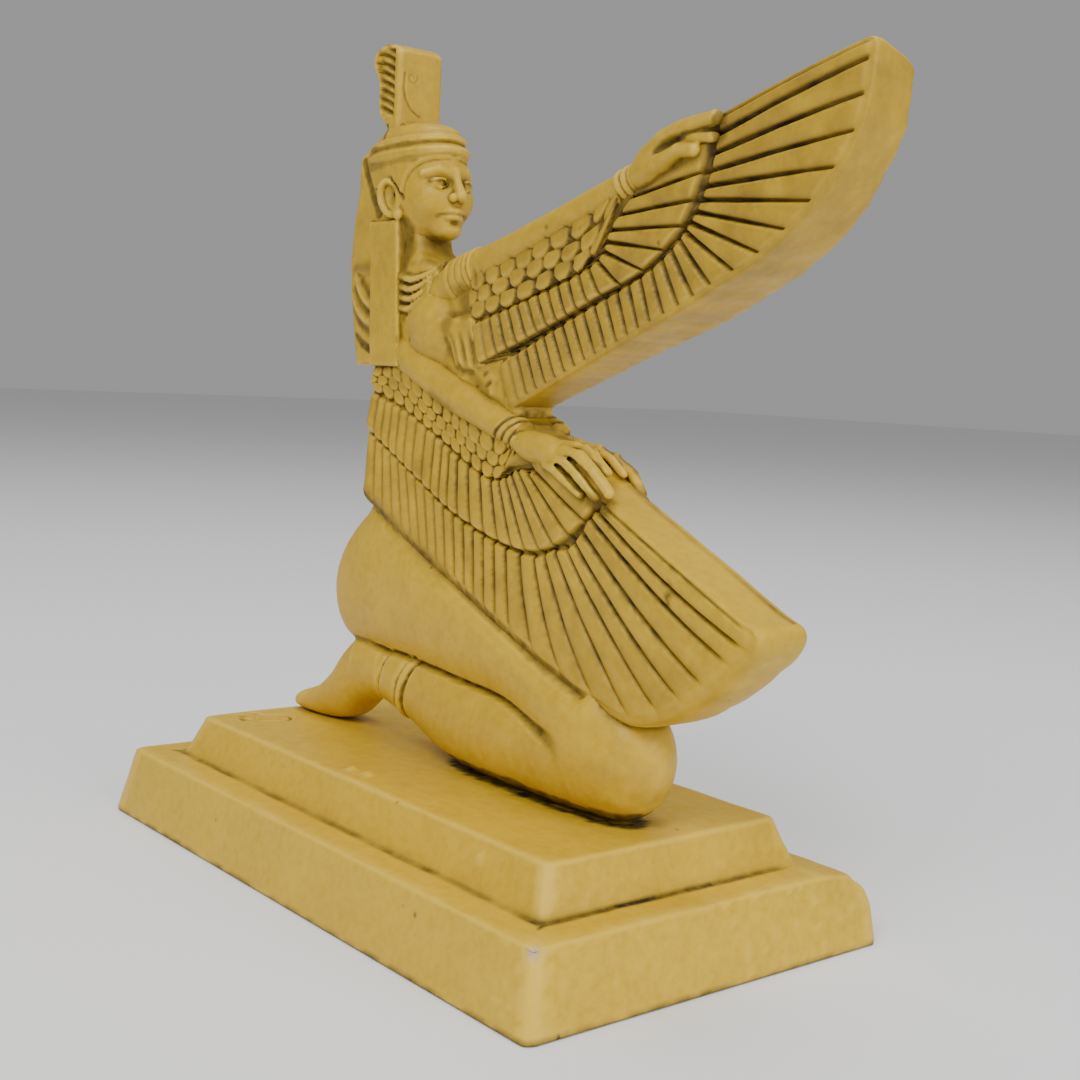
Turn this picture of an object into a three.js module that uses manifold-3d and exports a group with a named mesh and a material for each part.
// A kneeling winged goddess with a feather crown on a stepped plinth: a small cast and painted figure.
// Millimetres, +Z up. The origin is the centre of the plinth's underside, and she faces +X.
// The figure is a thin relief with two faces carved alike, so most shapes are made once and mirrored.
import * as THREE from "three";
import Module from "manifold-3d";

const wasm = await Module();
wasm.setup();

// Plinth: two tiers with battered sides.
const LOWER_TIER = { length: 110, width: 61, height: 10.5, batter: 2.3 };
const UPPER_TIER = { length: 93.8, width: 44.6, height: 6.1, batter: 2.4 };
const EDGE_SOFTNESS = 0.5;
const CORNER_RADIUS = 1.2;
const PLINTH_TOP = LOWER_TIER.height + UPPER_TIER.height;

// The legs rest on the plinth with a thin glued joint.
const JOINT_GAP = 0.3;

// Body sections, each [x, z, lean in degrees, half size in the XZ plane, half size across].
// Lean is the direction of the in-plane half size: 0 along +X, 90 along +Z.
const HIPS_AND_THIGHS = [
  [-32.6, 38.6, 90, 1.4, 1.2],
  [-31.6, 38.8, 90, 4.8, 3.2],
  [-28.8, 39.6, 90, 8.4, 4.7],
  [-23.0, 41.2, 90, 11.4, 5.5],
  [-12.0, 41.6, 90, 12.4, 5.8],
  [2.0, 38.4, 90, 10.2, 5.8],
  [15.0, 34.9, 90, 7.5, 5.8],
  [26.0, 30.0, 84, 7.8, 6.4],
  [34.0, 26.2, 84, 8.6, 6.8],
  [38.8, 25.2, 86, 7.2, 5.9],
  [41.6, 24.8, 88, 4.6, 3.9],
  [43.0, 24.6, 90, 1.6, 1.4],
];
// The shins end in the two ankle bands, which stand proud between grooves.
const SHINS = [
  [39.0, 24.4, 90, 6.4, 5.4],
  [33.0, 23.9, 90, 7.2, 6.6],
  [22.0, 23.5, 90, 7.0, 6.3],
  [10.0, 23.6, 90, 7.1, 6.1],
  [0.0, 24.4, 90, 7.0, 5.9],
  [-9.4, 26.1, 84, 5.8, 5.2],
  [-10.2, 26.2, 83, 5.2, 4.7],
  [-10.8, 26.3, 83, 5.8, 5.2],
  [-12.8, 26.6, 84, 5.5, 5.0],
  [-13.4, 26.7, 84, 4.9, 4.5],
  [-14.0, 26.8, 85, 5.4, 4.9],
  [-16.4, 27.1, 87, 5.1, 4.6],
  [-17.0, 27.2, 88, 4.5, 4.1],
  [-17.6, 27.3, 88, 4.8, 4.3],
  [-25.0, 27.6, 120, 3.6, 3.9],
];
const FEET = [
  [-18.0, 27.2, 98, 3.8, 4.2],
  [-24.6, 27.0, 124, 4.8, 4.3],
  [-28.8, 23.9, 130, 4.6, 4.3],
  [-32.4, 20.9, 122, 3.7, 4.2],
  [-36.8, 19.0, 100, 2.5, 4.2],
  [-40.8, 18.4, 92, 1.9, 4.2],
  [-43.8, 18.0, 90, 1.2, 3.9],
];
const TORSO = [
  [-14.0, 46.0, 0, 8.6, 4.0],
  [-13.3, 70.0, 0, 9.1, 4.1],
  [-13.2, 78.0, 0, 9.4, 4.3],
  [-14.6, 83.0, 0, 10.4, 4.6],
  [-15.4, 87.0, 0, 10.2, 4.6],
  [-16.0, 90.0, 0, 8.0, 4.3],
  [-16.4, 92.0, 0, 5.2, 3.7],
  [-16.5, 97.0, 0, 4.3, 3.4],
];
const FACE = [
  [-12.4, 93.2, 0, 1.6, 1.3],
  [-12.4, 93.8, 0, 3.8, 2.7],
  [-13.1, 95.4, 0, 5.5, 3.9],
  [-14.1, 97.8, 0, 6.6, 4.8],
  [-14.8, 100.2, 0, 7.3, 5.2],
  [-15.2, 101.9, 0, 7.2, 5.2],
  [-15.3, 103.3, 0, 8.1, 5.4],
  [-15.9, 106.6, 0, 7.9, 5.4],
  [-16.6, 108.4, 0, 6.0, 4.6],
];
const NOSE = [
  [-7.8, 103.6, 0, 0.5, 0.6],
  [-7.0, 101.4, 0, 0.9, 0.8],
  [-6.3, 99.8, 0, 1.3, 1.2],
  [-7.0, 99.0, 0, 0.9, 0.9],
];
const LIPS = [
  [-7.6, 98.1, 0, 0.5, 0.8],
  [-7.4, 97.6, 0, 0.9, 1.8],
  [-7.9, 97.1, 0, 0.7, 1.8],
  [-7.7, 96.6, 0, 0.9, 1.5],
  [-8.5, 96.0, 0, 0.5, 0.7],
];
const EYE = [
  [-9.7, 101.1, -40, 0.5, 0.7],
  [-9.3, 101.7, -40, 1.3, 0.7],
  [-9.7, 102.3, -40, 0.5, 0.7],
];
const EYE_Y = 2.9;
// The cap carries the headband, two ridges round the brow, under its flat top.
const CAP = [
  [-18.0, 105.2, -1, 9.2, 5.2],
  [-18.1, 105.6, -1, 9.9, 5.7],
  [-18.0, 107.2, -1, 9.6, 5.5],
  [-17.4, 107.5, -1, 8.1, 4.9],
  [-17.2, 107.9, 0, 8.0, 4.8],
  [-17.0, 109.4, 0, 7.0, 4.4],
  [-17.0, 110.3, 0, 5.8, 3.8],
];
const BACK_HAIR = [
  [-21.9, 74.6, 0, 6.9, 4.4],
  [-22.3, 80.0, 0, 7.6, 4.5],
  [-22.8, 88.0, 0, 8.2, 4.6],
  [-23.0, 94.0, 0, 7.4, 4.6],
  [-23.8, 97.5, 0, 5.9, 4.6],
  [-24.6, 101.0, 0, 3.9, 4.5],
  [-25.5, 106.8, 0, 1.5, 4.3],
];

// The wig's flat front locks: one on each side, hanging from the ear to the level of the hair's end.
const LOCK = { topX: -19.0, bottomX: -17.6, halfWidth: 3.9, topZ: 96.4, bottomZ: 74.6 };
const LOCK_FACE = 5.2;
const LOCK_BACK = 3.0;
const LOCK_EDGE = 0.5;
const EAR = { x: -15.9, y: 4.9, z: 99.8, halfWidth: 1.9, halfHeight: 3.1, lean: 10, flare: 0.4 };

// The broad collar: ridges round a point at the neck, on each face, as arcs in degrees from +X.
const COLLAR = { x: -17.5, z: 93.0, radii: [8.6, 10.8, 13.0], from: 212, to: 344, steps: 6 };
const RIDGE = { halfWidth: 1.0, inside: 3.2, crest: 5.0 };
const RING_THICKNESS = 0.45;
const WRIST_BAND = 2.3;

// The rough web that joins the chest, the raised wing's root and the lowered arm.
const WEB_HALF = 3.5;
const WEB_OUTLINE = [
  [-9.0, 88.0],
  [2.0, 89.6],
  [6.0, 86.0],
  [12.0, 77.0],
  [13.6, 71.0],
  [13.4, 67.0],
  [2.0, 68.6],
  [-9.0, 72.0],
];

// Feather crown: its outline in the XZ plane, a slab across Y, and the barbs cut in both sides.
const CROWN_HALF_WIDTH = 4.0;
const CROWN_OUTLINE = [
  [-17.7, 106.0],
  [-17.7, 121.2],
  [-18.5, 122.2],
  [-22.0, 123.1],
  [-24.3, 122.7],
  [-25.4, 121.4],
  [-25.0, 119.8],
  [-23.8, 118.2],
  [-23.5, 113.6],
  [-22.6, 111.9],
  [-20.9, 110.2],
  [-20.6, 106.0],
];
const BARBS = { count: 7, top: 121.4, bottom: 114, back: -23, front: -18.6, drop: 2, width: 0.4, depth: 0.6 };

// A wing. Its half thickness is [x, at the arm, at the feather tips]. Its crest is the edge behind
// the arms, and its rim is the share of an outer feather's length where its rounded edge ends. A
// quill of a row is [number, x and z at its root, x and z at its tip], and a row reaches over the
// given shares of the way from the arm to the tips.
const LOWER_WING = {
  half: [
    [-22, 4.4, 4.5],
    [0, 4.4, 4.5],
    [20, 4.3, 4.4],
    [33, 4.1, 4.3],
    [45, 4.0, 4.5],
    [61, 4.2, 4.3],
  ],
  crest: [
    [-21.4, 75.0],
    [-13.0, 77.0],
    [-1.6, 72.6],
    [6.0, 70.2],
    [14.4, 67.8],
  ],
  rim: 1.06,
  outer: {
    reach: [0.6, 1],
    quills: [
      [0, -21.9, 64.9, -22.6, 55.2],
      [5, -11.2, 59.9, -9.1, 49.0],
      [10, 1.2, 54.2, 2.4, 44.4],
      [15, 13.8, 50.8, 15.4, 39.1],
      [17, 20.9, 51.2, 26.7, 34.9],
      [19, 26.4, 53.0, 40.4, 32.0],
      [21, 29.6, 55.0, 49.6, 35.3],
      [23, 31.2, 56.6, 57.6, 41.3],
      [25, 32.4, 58.2, 60.9, 45.5],
    ],
  },
  inner: {
    reach: [0.3, 0.6],
    quills: [
      [0, -21.4, 70.9, -21.9, 64.9],
      [5, -11.2, 68.1, -11.2, 59.9],
      [8, -4.0, 65.2, -4.1, 56.5],
      [11, 1.7, 62.4, 2.9, 53.6],
      [14, 9.6, 59.9, 12.6, 51.1],
      [16, 12.9, 60.4, 18.7, 50.8],
      [18, 15.4, 61.6, 24.4, 52.4],
      [20, 18.9, 61.8, 29.6, 56.0],
      [21, 16.0, 66.4, 32.2, 58.8],
    ],
  },
  scales: {
    reach: [0, 0.3],
    quills: [
      [0, -21.2, 74.1, -21.4, 70.9],
      [2, -14.7, 74.3, -13.1, 68.8],
      [5, -4.0, 69.5, -4.0, 65.2],
      [8, 4.5, 66.6, 5.9, 60.8],
      [10, 12.6, 64.6, 11.9, 60.0],
      [11, 15.0, 67.0, 15.6, 64.0],
    ],
  },
  arm: [
    [-17.4, 77.8, 62, 3.1, 2.6, 2.2],
    [-8.1, 74.0, 66, 2.9, 2.7, 2.7],
    [-1.6, 71.3, 68, 2.7, 2.6, 2.9],
    [5.8, 68.9, 70, 2.5, 2.5, 3.0],
    [14.2, 66.1, 74, 2.2, 2.2, 3.0],
  ],
  hand: { wrist: [14.2, 66.1], knuckles: [24.4, 63.2], tips: [31.4, 59.0], y: 3.0, size: 1 },
};
const UPPER_WING = {
  half: [
    [8, 4.3, 3.3],
    [19, 4.2, 3.6],
    [33, 4.3, 4.3],
    [44, 4.4, 5.0],
    [52, 4.5, 5.0],
    [59, 4.5, 4.8],
    [66, 4.4, 4.3],
    [73, 3.8, 3.4],
  ],
  crest: [
    [-2.0, 88.6],
    [9.8, 92.0],
    [22.0, 96.0],
    [33.0, 99.6],
  ],
  rim: 1.01,
  outer: {
    reach: [0.6, 1],
    quills: [
      [0, 9.6, 76.0, 11.9, 69.7],
      [7, 23.1, 81.4, 26.3, 75.4],
      [14, 38.4, 87.2, 41.2, 81.1],
      [16, 42.3, 89.2, 46.2, 83.0],
      [18, 45.1, 91.4, 51.4, 85.4],
      [20, 46.8, 93.2, 58.8, 89.0],
      [22, 48.5, 95.6, 65.7, 94.6],
      [24, 49.8, 99.0, 70.4, 101.4],
      [26, 50.6, 103.0, 72.2, 108.7],
      [27, 50.8, 105.2, 72.4, 111.0],
    ],
  },
  inner: {
    reach: [0.3, 0.6],
    quills: [
      [0, 3.0, 81.3, 5.2, 75.2],
      [6, 15.3, 84.7, 18.5, 79.8],
      [12, 28.0, 88.5, 31.4, 84.6],
      [14, 30.8, 90.3, 39.4, 87.6],
      [16, 31.9, 92.9, 46.0, 92.7],
      [18, 35.6, 96.6, 49.0, 98.8],
      [19, 37.8, 98.6, 50.0, 102.6],
      [20, 34.0, 99.4, 50.6, 105.4],
    ],
  },
  scales: {
    reach: [0, 0.3],
    quills: [
      [0, 3.0, 87.6, 3.1, 81.3],
      [3, 10.6, 89.4, 11.5, 83.4],
      [6, 19.6, 92.2, 20.4, 86.1],
      [9, 29.4, 95.4, 29.2, 89.4],
      [10, 33.4, 99.2, 33.2, 95.6],
    ],
  },
  arm: [
    [-8.0, 85.4, 100, 3.4, 3.0, 1.4],
    [0.6, 88.4, 100, 2.8, 2.8, 1.9],
    [9.8, 90.9, 104, 2.3, 2.5, 2.5],
    [22.0, 94.8, 106, 2.1, 2.3, 2.6],
    [33.0, 98.2, 106, 1.9, 2.2, 2.7],
  ],
  hand: { wrist: [33.0, 98.2], knuckles: [42.4, 101.8], tips: [50.4, 104.0], y: 2.9, size: 1.1 },
};
const TIP_NOTCH = 0.965;
const WIDE_VANE = 3.4;
const GROOVE_HALF = 0.16;
const GROOVE_DEPTH = 0.55;
const RIM_HALF = 0.5;
const CREST_INSET = 0.6;
const SCALE_ROWS = 3;
const SCALE_HEIGHT = 0.45;
// How proud of the wing's face each row stands, at its root and at its tip.
const OUTER_PROUD = [-0.5, 0];
const INNER_PROUD = [-0.4, 0.35];
const SCALES_PROUD = 0.15;

// Values between keys: each key is [position, value, value, ...], joined by smooth curves.
function between(keys, t) {
  let i = 0;
  while (i < keys.length - 2 && t > keys[i + 1][0]) i++;
  const [a, b] = [keys[i], keys[i + 1]];
  const before = keys[Math.max(i - 1, 0)];
  const after = keys[Math.min(i + 2, keys.length - 1)];
  const span = b[0] - a[0];
  const u = Math.min(Math.max((t - a[0]) / span, 0), 1);
  return a.slice(1).map((from, k) => {
    const to = b[k + 1];
    const slopeA = ((to - before[k + 1]) / (b[0] - before[0])) * span;
    const slopeB = ((after[k + 1] - from) / (after[0] - a[0])) * span;
    const [u2, u3] = [u * u, u * u * u];
    const rise = 3 * u2 - 2 * u3;
    return from + (to - from) * rise + slopeA * (u3 - 2 * u2 + u) + slopeB * (u3 - u2);
  });
}

// A closed mesh as a solid, turned inside out where its faces point inwards.
function solidOf(points, faces) {
  const made = (order) =>
    new wasm.Manifold(
      new wasm.Mesh({
        numProp: 3,
        vertProperties: new Float32Array(points.flat()),
        triVerts: new Uint32Array(order),
      }),
    );
  const first = made(faces);
  if (first.volume() > 0) return first;
  const turned = [];
  for (let i = 0; i < faces.length; i += 3) turned.push(faces[i], faces[i + 2], faces[i + 1]);
  return made(turned);
}

function join(solids) {
  return solids.reduce((whole, next) => whole.add(next));
}

// A skin over rings of equal count, closed at both ends by a fan.
function loft(rings) {
  const n = rings[0].length;
  const points = rings.flat();
  const faces = [];
  for (let r = 0; r + 1 < rings.length; r++) {
    for (let i = 0; i < n; i++) {
      const a = r * n + i;
      const b = r * n + ((i + 1) % n);
      faces.push(a, b, b + n, a, b + n, a + n);
    }
  }
  const middle = (ring) => [0, 1, 2].map((k) => ring.reduce((sum, p) => sum + p[k], 0) / n);
  const start = points.push(middle(rings[0])) - 1;
  const end = points.push(middle(rings.at(-1))) - 1;
  const last = (rings.length - 1) * n;
  for (let i = 0; i < n; i++) {
    const next = (i + 1) % n;
    faces.push(start, next, i, end, last + i, last + next);
  }
  return solidOf(points, faces);
}

// The outline of a body section [x, z, lean, half in the plane, half across, y of its centre]:
// an ellipse where square is 2, and nearer to a rectangle where it is more.
function section([x, z, lean, half, across, y = 0], sides, square) {
  const turn = THREE.MathUtils.degToRad(lean);
  const fuller = (share) => Math.sign(share) * Math.abs(share) ** (2 / square);
  return Array.from({ length: sides }, (_, i) => {
    const a = (2 * Math.PI * i) / sides;
    const u = half * fuller(Math.cos(a));
    return [x + u * Math.cos(turn), y + across * fuller(Math.sin(a)), z + u * Math.sin(turn)];
  });
}

// A body form through its sections.
function form(sections, sides, square = 2) {
  return loft(sections.map((values) => section(values, sides, square)));
}

// A closed tube with three sides laid round a section.
function ring([x, z, lean, half, across, y], thickness, sides) {
  const profile = [[1, 0], [-1.4, 1], [-1.4, -1]];
  const turn = THREE.MathUtils.degToRad(lean);
  const loops = profile.map(([out, up]) => {
    const shift = up * thickness;
    const centre = [x - shift * Math.sin(turn), z + shift * Math.cos(turn)];
    const grow = out * thickness;
    return section([...centre, lean, half + grow, across + grow, y], sides, 2);
  });
  const points = loops.flat();
  const faces = [];
  loops.forEach((_, k) => {
    const other = ((k + 1) % loops.length) * sides;
    for (let i = 0; i < sides; i++) {
      const [p, q] = [k * sides + i, k * sides + ((i + 1) % sides)];
      const [r, t] = [other + i, other + ((i + 1) % sides)];
      faces.push(p, q, t, p, t, r);
    }
  });
  return solidOf(points, faces);
}

function mirrored(solid) {
  return solid.mirror([0, 1, 0]);
}

function bothSides(solid) {
  return [solid, mirrored(solid)];
}

// How far along a line each of its points lies, from 0 to 1.
function alongLine(line) {
  const reach = [0];
  for (let i = 1; i < line.length; i++) {
    reach.push(reach[i - 1] + Math.hypot(...line[i].map((value, k) => value - line[i - 1][k])));
  }
  return reach.map((value) => value / reach.at(-1));
}

// A slab with two mirrored faces. A face is the skin over lines that run from the rear to the front,
// and each of their points is [x, z, half thickness].
function slabOfLines(lines) {
  const near = lines.flat();
  const points = [-1, 1].flatMap((side) => near.map(([x, z, half]) => [x, side * half, z]));
  const far = (i) => near.length + i;
  const faces = [];
  const bothFaces = (a, b, c) => faces.push(a, b, c, far(a), far(c), far(b));
  const starts = lines.map((_, r) => lines.slice(0, r).flat().length);
  for (let r = 0; r + 1 < lines.length; r++) {
    const [upper, lower] = [lines[r], lines[r + 1]];
    const regular = upper.length === lower.length;
    const [s, t] = [upper, lower].map((line) => (regular ? line.map((_, i) => i) : alongLine(line)));
    let [i, j] = [0, 0];
    while (i + 1 < upper.length || j + 1 < lower.length) {
      const [a, b] = [starts[r] + i, starts[r + 1] + j];
      if (j + 1 === lower.length || (i + 1 < upper.length && s[i + 1] <= t[j + 1])) {
        bothFaces(a, a + 1, b);
        i++;
      } else {
        bothFaces(a, b + 1, b);
        j++;
      }
    }
  }
  const ends = lines.map((line, r) => starts[r] + line.length - 1);
  const first = lines[0].map((_, i) => i);
  const last = lines.at(-1).map((_, i) => starts.at(-1) + i);
  const edge = [...first, ...ends.slice(1, -1), ...last.reverse(), ...starts.slice(1, -1).reverse()];
  edge.forEach((a, i) => {
    const b = edge[(i + 1) % edge.length];
    faces.push(a, far(a), far(b), a, far(b), b);
  });
  return solidOf(points, faces);
}

// A point of a feather row: number along the row, and share of the way from root to tip. The half
// thickness is that of the wing's face there, and proud is added to it.
function onRow(wing, { quills, reach }, number, share, proud = 0) {
  const [x0, z0, x1, z1] = between(quills, number);
  const [x, z] = [x0 + (x1 - x0) * share, z0 + (z1 - z0) * share];
  const [atArm, atTips] = between(wing.half, x);
  const out = reach[0] + (reach[1] - reach[0]) * share;
  return [x, z, atArm + (atTips - atArm) * out + proud];
}

// Where a row's surface is sampled: each groove, and the crest or the two shoulders of each vane.
function vaneNumbers(quills) {
  const count = quills.at(-1)[0];
  const numbers = [];
  for (let i = 0; i < count; i++) {
    const [a, b] = [between(quills, i), between(quills, i + 1)];
    const wide = Math.hypot(b[2] - a[2], b[3] - a[3]) > WIDE_VANE;
    numbers.push(i, ...(wide ? [i + GROOVE_HALF, i + 1 - GROOVE_HALF] : [i + 0.5]));
  }
  return [...numbers, count];
}

// The two lines of a row of feathers: vanes parted by V grooves, low at the root, proud at the tip.
function featherRow(wing, row, [atRoot, atTip]) {
  const count = row.quills.at(-1)[0];
  const line = (share, proud) =>
    vaneNumbers(row.quills).map((number) => {
      const groove = Number.isInteger(number) && number > 0 && number < count;
      const reach = groove && share === 1 ? TIP_NOTCH : share;
      return onRow(wing, row, number, reach, groove ? proud - GROOVE_DEPTH : proud);
    });
  return [line(0, atRoot), line(1, atTip)];
}

// The lines of the scales, each tip proud over the row below. Odd rows sit half a scale along.
function scaleRows(wing) {
  const count = wing.scales.quills.at(-1)[0];
  const numbers = Array.from({ length: 2 * count + 1 }, (_, i) => i / 2);
  const line = (row, height) =>
    numbers.map((number) => {
      const tip = Number.isInteger(number + Math.floor(row) / 2) ? 0 : 1;
      const share = (row + 0.4 * tip) / SCALE_ROWS;
      return onRow(wing, wing.scales, number, share, SCALES_PROUD + height * tip);
    });
  const lines = [line(0, 0)];
  for (let row = 0; row < SCALE_ROWS; row++) {
    lines.push(line(row + 0.7, SCALE_HEIGHT), line(row + 0.85, 0));
  }
  return lines;
}

function feathers(wing) {
  const crest = wing.crest.map(([x, z]) => [x, z, between(wing.half, x)[0] - CREST_INSET]);
  const rim = vaneNumbers(wing.outer.quills).map((number) => {
    const [x, z, half] = onRow(wing, wing.outer, number, wing.rim);
    return [x, z, half * RIM_HALF];
  });
  return slabOfLines([
    crest,
    ...scaleRows(wing),
    ...featherRow(wing, wing.inner, INNER_PROUD),
    ...featherRow(wing, wing.outer, OUTER_PROUD),
    rim,
  ]);
}

// The hand lies along the wing's edge: a palm and four fingers side by side.
function hand({ wrist, knuckles, tips, y, size }) {
  const at = (from, to, share) => [0, 1].map((k) => from[k] + (to[k] - from[k]) * share);
  const lean = (from, to) => {
    const turn = Math.atan2(to[1] - from[1], to[0] - from[0]);
    return THREE.MathUtils.radToDeg(turn) + 90;
  };
  const palmAt = (share, half, across) => [
    ...at(wrist, knuckles, share),
    lean(wrist, knuckles),
    half * size,
    across,
    -y - 0.4 * share,
  ];
  const palm = form(
    [
      palmAt(-0.1, 1.9, 1.9),
      palmAt(0.2, 1.8, 1.8),
      palmAt(0.6, 2.4, 1.8),
      palmAt(1.05, 2.2, 1.5),
    ],
    6,
  );
  const turn = THREE.MathUtils.degToRad(lean(knuckles, tips));
  const fingers = [-1.5, -0.5, 0.5, 1.5].map((place) => {
    const fingerAt = (share, spread, half, across) => {
      const [x, z] = at(knuckles, tips, share);
      const aside = place * spread * size;
      const middle = [x + Math.cos(turn) * aside, z + Math.sin(turn) * aside];
      return [...middle, lean(knuckles, tips), half * size, across, -y - 0.4];
    };
    const reach = 1 - 0.07 * Math.abs(place - 0.5);
    return form([fingerAt(-0.15, 1.1, 0.6, 1.3), fingerAt(reach, 1.0, 0.45, 0.8)], 4);
  });
  return join([palm, ...fingers]);
}

function wristBand({ wrist, knuckles, y }) {
  const turn = Math.atan2(knuckles[1] - wrist[1], knuckles[0] - wrist[0]);
  const lean = THREE.MathUtils.radToDeg(turn) + 90;
  return ring([...wrist, lean, WRIST_BAND, WRIST_BAND, -y], RING_THICKNESS, 8);
}

function wing(shape) {
  const arm = form(shape.arm.map((values) => [...values.slice(0, 5), -values[5]]), 8);
  const limb = join([arm, hand(shape.hand), wristBand(shape.hand)]);
  return join([feathers(shape), ...bothSides(limb)]);
}

// A box with free corners, from its eight points: bottom four and then top four, in turn.
function block(corners) {
  return loft([corners.slice(0, 4), corners.slice(4)]);
}

function lock() {
  const { topX, bottomX, halfWidth, topZ, bottomZ } = LOCK;
  const level = (x, z) => [
    [x - halfWidth, -LOCK_FACE, z],
    [x + halfWidth - LOCK_EDGE, -LOCK_FACE, z],
    [x + halfWidth, -LOCK_FACE + LOCK_EDGE, z],
    [x + halfWidth, -LOCK_BACK, z],
    [x - halfWidth, -LOCK_BACK, z],
  ];
  return loft([level(bottomX, bottomZ), level(topX, topZ)]);
}

function ear() {
  const { x, y, z, halfWidth, halfHeight, lean, flare } = EAR;
  const sizes = [[-0.8, 0.85], [0.7, 1], [1.2, 0.7]];
  const rings = sizes.map(([out, size]) =>
    section([x, z, lean, size * halfWidth, size * halfHeight], 8, 2).map(([px, across]) => [
      px,
      -y - out + (px - x) * flare,
      z + across,
    ]),
  );
  return loft(rings);
}

// A wedge-shaped cutter along a line in the XZ plane, for grooves in a face that looks along Y.
function wedge([x0, z0], [x1, z1], halfWidth, face, depth) {
  const length = Math.hypot(x1 - x0, z1 - z0);
  const [nx, nz] = [(-(z1 - z0) / length) * halfWidth, ((x1 - x0) / length) * halfWidth];
  const end = (x, z) => [
    [x - nx, -face - 0.1, z - nz],
    [x + nx, -face - 0.1, z + nz],
    [x, -face + depth, z],
  ];
  return loft([end(x0, z0), end(x1, z1)]);
}

// A plate of even thickness from its outline in the XZ plane.
function plate(outline, half) {
  const flat = outline.map(([x, z]) => new THREE.Vector2(x, z));
  const near = THREE.ShapeUtils.triangulateShape(flat, []).flat();
  const n = flat.length;
  const points = [-half, half].flatMap((y) => outline.map(([x, z]) => [x, y, z]));
  const faces = [...near];
  for (let i = 0; i < near.length; i += 3) faces.push(n + near[i], n + near[i + 2], n + near[i + 1]);
  const clockwise = THREE.ShapeUtils.isClockWise(flat);
  for (let i = 0; i < n; i++) {
    const [a, b] = clockwise ? [(i + 1) % n, i] : [i, (i + 1) % n];
    faces.push(b, a, n + a, b, n + a, n + b);
  }
  return solidOf(points, faces);
}

function crown() {
  const { count, top, bottom, back, front, drop, width, depth } = BARBS;
  const cutters = [];
  for (let i = 0; i < count; i++) {
    const z = top + ((bottom - top) * i) / (count - 1);
    cutters.push(wedge([back, z], [front, z - drop], width, CROWN_HALF_WIDTH, depth));
  }
  return plate(CROWN_OUTLINE, CROWN_HALF_WIDTH).subtract(join(bothSides(join(cutters))));
}

// One ridge of the collar on the near face: an arc with a wedge for its section.
function collarRidge(radius) {
  const { x, z, from, to, steps } = COLLAR;
  const { halfWidth, inside, crest } = RIDGE;
  const rings = Array.from({ length: steps + 1 }, (_, i) => {
    const a = THREE.MathUtils.degToRad(from + ((to - from) * i) / steps);
    const at = (r, y) => [x + r * Math.cos(a), -y, z + r * Math.sin(a)];
    return [at(radius - halfWidth, inside), at(radius, crest), at(radius + halfWidth, inside)];
  });
  return loft(rings);
}

// Everything of the figure below this height would stand in the plinth, so it is cut off flat.
function aboveJoint(solid) {
  const z = PLINTH_TOP + JOINT_GAP;
  const size = 100;
  const corners = [-20, z].flatMap((level) => [
    [-size, -size, level],
    [size, -size, level],
    [size, size, level],
    [-size, size, level],
  ]);
  return solid.subtract(block(corners));
}

function head() {
  const eye = form(EYE.map((values) => [...values, -EYE_Y]), 6);
  const face = join([form(FACE, 12, 2.2), form(NOSE, 6), form(LIPS, 6), ...bothSides(eye)]);
  const hair = join([form(CAP, 12, 2.4), form(BACK_HAIR, 10, 4), ...bothSides(lock())]);
  return join([face, hair, ...bothSides(ear()), crown()]);
}

function figureSolid() {
  const legs = join([form(HIPS_AND_THIGHS, 14, 2.2), form(SHINS, 12, 2.2), form(FEET, 10, 2.6)]);
  const ridges = bothSides(join(COLLAR.radii.map(collarRidge)));
  const trunk = join([form(TORSO, 12, 4), plate(WEB_OUTLINE, WEB_HALF), ...ridges]);
  return aboveJoint(join([legs, trunk, head(), wing(LOWER_WING), wing(UPPER_WING)]));
}

// A rectangle with rounded corners at a height, as a ring of points.
function roundedRing(z, halfLength, halfWidth, radius) {
  const corners = [
    [1, 1, 0],
    [-1, 1, 90],
    [-1, -1, 180],
    [1, -1, 270],
  ];
  return corners.flatMap(([sx, sy, start]) =>
    [0, 45, 90].map((step) => {
      const a = THREE.MathUtils.degToRad(start + step);
      return [
        sx * (halfLength - radius) + radius * Math.cos(a),
        sy * (halfWidth - radius) + radius * Math.sin(a),
        z,
      ];
    }),
  );
}

function tier(bottom, { length, width, height, batter }) {
  const at = (z, inset) =>
    roundedRing(bottom + z, length / 2 - inset, width / 2 - inset, CORNER_RADIUS);
  const soft = EDGE_SOFTNESS;
  return [
    at(0, soft * 0.6),
    at(soft, (batter * soft) / height),
    at(height - soft, batter - (batter * soft) / height),
    at(height, batter + soft * 0.6),
  ];
}

function plinthSolid() {
  const rings = [...tier(0, LOWER_TIER), ...tier(LOWER_TIER.height, UPPER_TIER)];
  return loft(rings);
}

function meshOf(name, solid, material) {
  const { numProp, vertProperties, triVerts } = solid.getMesh();
  const geometry = new THREE.BufferGeometry();
  const position = new Float32Array((vertProperties.length / numProp) * 3);
  for (let i = 0; i * numProp < vertProperties.length; i++) {
    position.set(vertProperties.subarray(i * numProp, i * numProp + 3), i * 3);
  }
  geometry.setAttribute("position", new THREE.BufferAttribute(position, 3));
  geometry.setIndex(new THREE.BufferAttribute(new Uint32Array(triVerts), 1));
  geometry.computeVertexNormals();
  const mesh = new THREE.Mesh(geometry, material);
  mesh.name = name;
  return mesh;
}

const paint = { color: 0xc9a94e, roughness: 0.55, metalness: 0 };
const statue = new THREE.Group();
statue.add(meshOf("figure", figureSolid(), new THREE.MeshStandardMaterial(paint)));
statue.add(meshOf("plinth", plinthSolid(), new THREE.MeshStandardMaterial(paint)));

export default statue;
